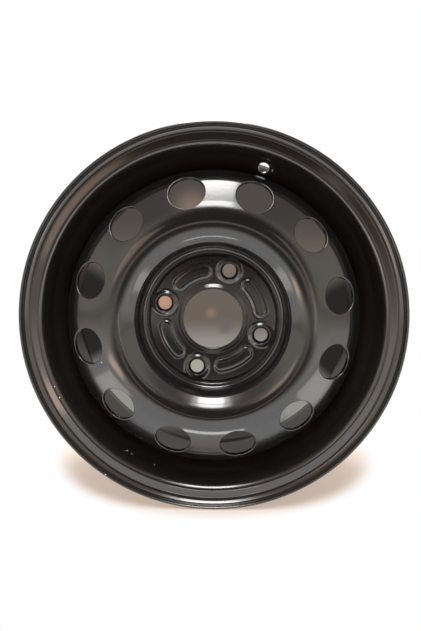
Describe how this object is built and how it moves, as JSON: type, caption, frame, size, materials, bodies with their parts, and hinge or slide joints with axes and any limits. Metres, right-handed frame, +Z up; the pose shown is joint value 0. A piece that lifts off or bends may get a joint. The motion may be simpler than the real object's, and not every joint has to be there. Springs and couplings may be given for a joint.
{
  "type": "wheel rim",
  "caption": "Pressed steel car wheel rim: a drop-centre barrel with rolled flanges, welded to a domed disc with round vents, coned nut seats and a collared centre bore.",
  "frame": {"origin": "centre of the wheel: on the spin axis, midway between the two flanges", "axes": "+Y along the spin axis towards the vehicle, so the outboard face looks towards -Y; +Z up; the valve hole stands 71.5 degrees from +X towards +Z"},
  "size_m": [0.3898, 0.165, 0.3898],
  "materials": {
    "rim_paint": "semi-gloss black paint over steel",
    "disc_paint": "semi-gloss black paint over steel",
    "weld_paint": "semi-gloss black paint over a weld bead"
  },
  "bodies": {
    "root": {"rim_barrel": "rim_paint", "wheel_disc": "disc_paint", "weld_bead_1": "weld_paint", "weld_bead_2": "weld_paint", "weld_bead_3": "weld_paint", "weld_bead_4": "weld_paint", "weld_bead_5": "weld_paint", "weld_bead_6": "weld_paint", "weld_bead_7": "weld_paint", "weld_bead_8": "weld_paint"}
  },
  "joints": []
}
